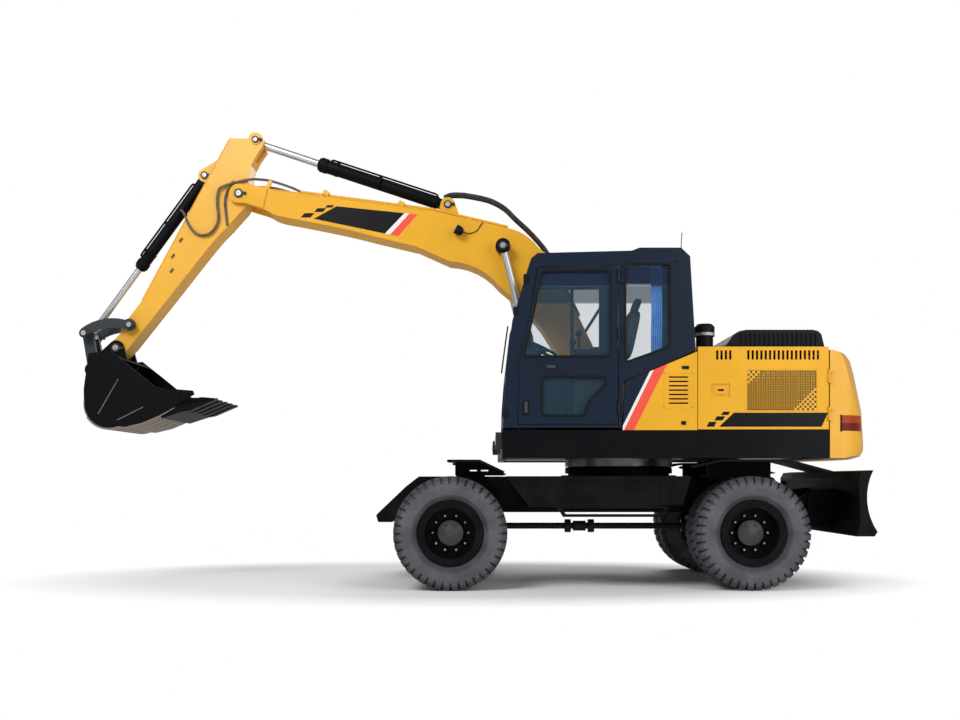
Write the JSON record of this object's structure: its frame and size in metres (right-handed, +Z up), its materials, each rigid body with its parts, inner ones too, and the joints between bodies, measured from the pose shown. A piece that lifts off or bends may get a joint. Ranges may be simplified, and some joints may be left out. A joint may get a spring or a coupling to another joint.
{
  "type": "wheeled excavator",
  "caption": "Wheeled excavator with twin tyres, slewing house and cab, rear dozer blade, one-piece boom, stick and toothed bucket on hydraulic cylinders.",
  "frame": {"origin": "on the ground under the middle of the whole machine as it stands in the picture", "axes": "+X forward, +Y to the cab side (left), +Z up; the slew axis is at x = -1.588 m"},
  "size_m": [7.9488, 2.512, 4.6149],
  "materials": {
    "yellow_paint": "gloss",
    "navy_paint": "gloss",
    "black_paint": "satin",
    "link_grey": "satin",
    "bearing_steel": "satin",
    "cast_parts": "satin",
    "rod_chrome": "polished",
    "tyre_rubber": "matte",
    "black_plastic": "matte",
    "lamp_plastic": "gloss",
    "cab_glass": "clear",
    "seat_fabric": "woven",
    "curtain_fabric": "woven"
  },
  "bodies": {
    "chassis": {"chassis_frame": "black_paint", "step_boxes": "black_paint", "front_mudguards": "black_paint", "rear_mudguards": "black_paint", "bearing_lower": "bearing_steel", "front_axle": "cast_parts", "rear_axle": "cast_parts", "drive_shaft": "cast_parts"},
    "knuckle_left": {"knuckle_left": "cast_parts"},
    "knuckle_right": {"knuckle_right": "cast_parts"},
    "wheel_front_left": {"rim_front_left": "black_paint", "tyres_front_left": "tyre_rubber"},
    "wheel_front_right": {"rim_front_right": "black_paint", "tyres_front_right": "tyre_rubber"},
    "wheel_rear_left": {"rim_rear_left": "black_paint", "tyres_rear_left": "tyre_rubber"},
    "wheel_rear_right": {"rim_rear_right": "black_paint", "tyres_rear_right": "tyre_rubber"},
    "blade_arms": {"blade_arms": "black_paint"},
    "blade_links": {"blade_links": "black_paint"},
    "blade": {"blade": "black_paint"},
    "blade_barrel": {"blade_barrel": "black_paint"},
    "blade_rod": {"blade_rod": "rod_chrome"},
    "house": {"bearing_upper": "bearing_steel", "platform": "navy_paint", "counterweight": "yellow_paint", "engine": "cast_parts", "left_panel": "yellow_paint", "fuel_tank": "yellow_paint", "oil_tank": "yellow_paint", "engine_deck": "yellow_paint", "air_cleaner": "black_plastic", "handrail": "black_paint", "lamps": "lamp_plastic", "cab_shell": "navy_paint", "cab_glass": "cab_glass", "seat": "seat_fabric", "controls": "black_plastic", "curtain": "curtain_fabric"},
    "hood": {"hood": "black_plastic"},
    "left_door": {"left_door": "yellow_paint"},
    "right_door": {"right_door": "yellow_paint"},
    "cab_door": {"cab_door": "navy_paint", "door_glass": "cab_glass"},
    "boom": {"boom": "yellow_paint", "boom_pipes": "yellow_paint", "boom_lamp": "black_plastic"},
    "boom_barrels": {"boom_barrels": "black_paint"},
    "boom_rods": {"boom_rods": "rod_chrome"},
    "stick_barrel": {"stick_barrel": "black_paint"},
    "stick_rod": {"stick_rod": "rod_chrome"},
    "stick": {"stick": "yellow_paint"},
    "tipping_link": {"tipping_link": "link_grey"},
    "push_link": {"push_link": "link_grey"},
    "bucket_barrel": {"bucket_barrel": "black_paint"},
    "bucket_rod": {"bucket_rod": "rod_chrome"},
    "bucket": {"bucket": "black_paint"}
  },
  "joints": [
    {"name": "slew", "type": "hinge", "parent": "chassis", "child": "house", "pos_m": [-1.588, 0, 1.162], "axis": [0, 0, 1], "continuous": true},
    {"name": "steer_left", "type": "hinge", "parent": "chassis", "child": "knuckle_left", "pos_m": [0.122, 0.56, 0.53], "axis": [0, 0, 1], "range_deg": [-25, 25]},
    {"name": "steer_right", "type": "hinge", "parent": "chassis", "child": "knuckle_right", "pos_m": [0.122, -0.56, 0.53], "axis": [0, 0, 1], "range_deg": [-25.5, 25.5]},
    {"name": "spin_front_left", "type": "hinge", "parent": "knuckle_left", "child": "wheel_front_left", "pos_m": [0.122, 0.98, 0.53], "axis": [0, 1, 0], "continuous": true},
    {"name": "spin_front_right", "type": "hinge", "parent": "knuckle_right", "child": "wheel_front_right", "pos_m": [0.122, -0.98, 0.53], "axis": [0, 1, 0], "continuous": true},
    {"name": "spin_rear_left", "type": "hinge", "parent": "chassis", "child": "wheel_rear_left", "pos_m": [-2.678, 0.98, 0.53], "axis": [0, 1, 0], "continuous": true},
    {"name": "spin_rear_right", "type": "hinge", "parent": "chassis", "child": "wheel_rear_right", "pos_m": [-2.678, -0.98, 0.53], "axis": [0, 1, 0], "continuous": true},
    {"name": "boom_lift", "type": "hinge", "parent": "house", "child": "boom", "pos_m": [-1.408, -0.07, 1.84], "axis": [0, -1, 0], "range_deg": [-62, 32]},
    {"name": "boom_barrel_turn", "type": "hinge", "parent": "house", "child": "boom_barrels", "pos_m": [-0.882, -0.07, 1.5], "axis": [0, -1, 0], "range_deg": [-61.25, 31.86]},
    {"name": "boom_rod_slide", "type": "slide", "parent": "boom_barrels", "child": "boom_rods", "axis": [0.2513, 0, 0.9679], "range_m": [-0.61574, 0.31877]},
    {"name": "stick_swing", "type": "hinge", "parent": "boom", "child": "stick", "pos_m": [2.32712, -0.07, 3.97047], "axis": [0, 1, 0], "range_deg": [-50, 62]},
    {"name": "stick_barrel_turn", "type": "hinge", "parent": "boom", "child": "stick_barrel", "pos_m": [0.18162, -0.07, 3.88297], "axis": [0, 1, 0], "range_deg": [-2.2, 2.6]},
    {"name": "stick_rod_slide", "type": "slide", "parent": "stick_barrel", "child": "stick_rod", "axis": [0.9498, 0, 0.313], "range_m": [-0.44417, 0.55029]},
    {"name": "bucket_curl", "type": "hinge", "parent": "stick", "child": "bucket", "pos_m": [3.59359, -0.07, 2.38399], "axis": [0, 1, 0], "range_deg": [-130, 30]},
    {"name": "tipping_turn", "type": "hinge", "parent": "stick", "child": "tipping_link", "pos_m": [3.44781, -0.07, 2.61949], "axis": [0, 1, 0], "range_deg": [-96.7, 22.7]},
    {"name": "push_turn", "type": "hinge", "parent": "tipping_link", "child": "push_link", "pos_m": [3.91203, -0.07, 2.53327], "axis": [0, 1, 0], "range_deg": [-14.3, 60.3]},
    {"name": "bucket_barrel_turn", "type": "hinge", "parent": "stick", "child": "bucket_barrel", "pos_m": [2.70544, -0.07, 4.18419], "axis": [0, 1, 0], "range_deg": [-4.98, 1.53]},
    {"name": "bucket_rod_slide", "type": "slide", "parent": "bucket_barrel", "child": "bucket_rod", "axis": [0.5901, 0, -0.8074], "range_m": [-0.67285, 0.15681]},
    {"name": "blade_lift", "type": "hinge", "parent": "chassis", "child": "blade_arms", "pos_m": [-3.018, 0, 0.44], "axis": [0, -1, 0], "range_deg": [0, 60]},
    {"name": "blade_link_turn", "type": "hinge", "parent": "chassis", "child": "blade_links", "pos_m": [-3.018, 0, 0.662], "axis": [0, -1, 0], "range_deg": [-0.5, 60.5]},
    {"name": "blade_level", "type": "hinge", "parent": "blade_arms", "child": "blade", "pos_m": [-3.46746, 0, 0.64011], "axis": [0, -1, 0], "range_deg": [-60.5, 0.5]},
    {"name": "blade_barrel_turn", "type": "hinge", "parent": "chassis", "child": "blade_barrel", "pos_m": [-3.148, 0, 1], "axis": [0, -1, 0], "range_deg": [-0.5, 8.22]},
    {"name": "blade_rod_slide", "type": "slide", "parent": "blade_barrel", "child": "blade_rod", "axis": [-0.3026, 0, -0.9531], "range_m": [-0.002, 0.29019]},
    {"name": "cab_door_swing", "type": "hinge", "parent": "house", "child": "cab_door", "pos_m": [-1.43, 1.238, 2.3], "axis": [0, 0, 1], "range_deg": [0, 150]},
    {"name": "left_door_swing", "type": "hinge", "parent": "house", "child": "left_door", "pos_m": [-3.363, 1.243, 1.85], "axis": [0, 0, 1], "range_deg": [0, 110]},
    {"name": "right_door_swing", "type": "hinge", "parent": "house", "child": "right_door", "pos_m": [-3.363, -1.243, 1.85], "axis": [0, 0, -1], "range_deg": [0, 110]},
    {"name": "hood_lift", "type": "hinge", "parent": "house", "child": "hood", "pos_m": [-3.357, 0, 2.258], "axis": [0, -1, 0], "range_deg": [0, 60]}
  ],
  "couplings": [
    {"joint": "steer_right", "follows": "steer_left", "ratio": 1},
    {"joint": "boom_barrel_turn", "follows": "boom_lift", "ratio": 0.97988},
    {"joint": "boom_rod_slide", "follows": "boom_lift", "m_per_rad": 0.56718},
    {"joint": "stick_barrel_turn", "follows": "stick_swing", "ratio": 0.03395},
    {"joint": "stick_rod_slide", "follows": "stick_swing", "m_per_rad": 0.50669},
    {"joint": "tipping_turn", "follows": "bucket_curl", "ratio": 0.74},
    {"joint": "push_turn", "follows": "bucket_curl", "ratio": -0.46},
    {"joint": "bucket_barrel_turn", "follows": "bucket_curl", "ratio": 0.03448},
    {"joint": "bucket_rod_slide", "follows": "bucket_curl", "m_per_rad": 0.29567},
    {"joint": "blade_link_turn", "follows": "blade_lift", "ratio": 1},
    {"joint": "blade_level", "follows": "blade_lift", "ratio": -1},
    {"joint": "blade_barrel_turn", "follows": "blade_lift", "ratio": 0.12873},
    {"joint": "blade_rod_slide", "follows": "blade_lift", "m_per_rad": 0.27521}
  ]
}
